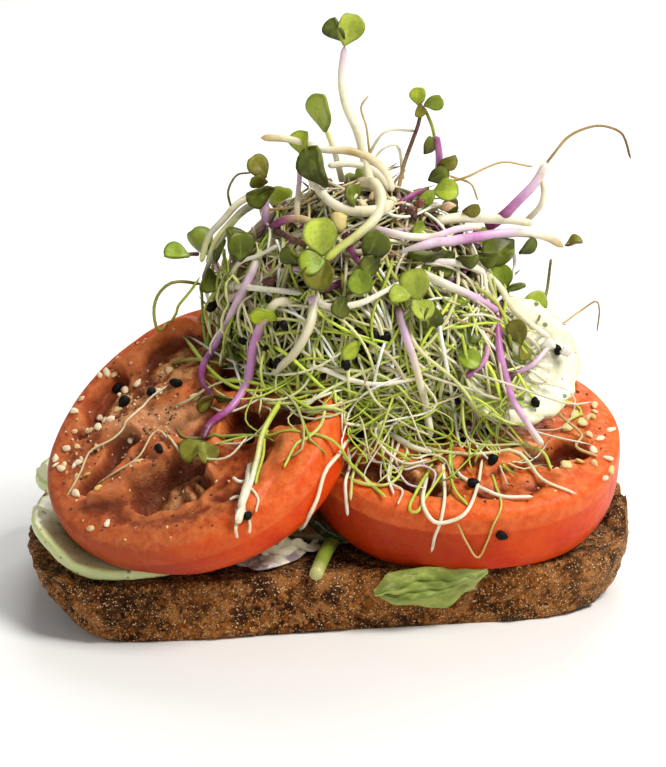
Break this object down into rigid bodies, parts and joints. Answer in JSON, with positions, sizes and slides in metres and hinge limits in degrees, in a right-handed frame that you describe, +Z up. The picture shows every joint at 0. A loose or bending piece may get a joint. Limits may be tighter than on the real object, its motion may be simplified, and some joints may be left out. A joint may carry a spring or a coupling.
{
  "type": "open sandwich",
  "caption": "Open sandwich: a slice of dark wholemeal bread with cucumber slices, tomato halves laid cut side up, a basil leaf and a tall tangled heap of sprouts.",
  "frame": {"origin": "centre of the bread slice's flat underside", "axes": "+X along the length of the slice, +Z up through the layers, +Y away from the long front edge over which the leaf hangs"},
  "size_m": [0.1386, 0.0956, 0.13],
  "materials": {
    "bread": "rough crumb and floury crust",
    "cucumber": "moist",
    "tomato": "moist cut face, smooth skin",
    "leaf": "satin leaf",
    "peel": "moist peel",
    "cream": "soft spread",
    "sprouts": "thin moist stems and leaves"
  },
  "bodies": {
    "root": {"bread_slice": "bread", "cucumber_left_front": "cucumber", "cucumber_left_back": "cucumber", "cucumber_middle": "cucumber", "cucumber_upright": "cucumber", "tomato_left": "tomato", "tomato_right": "tomato", "basil_leaf": "leaf", "green_stem": "leaf", "peel_strip": "peel", "cream_smear": "cream", "sprout_heap": "sprouts"}
  },
  "joints": []
}
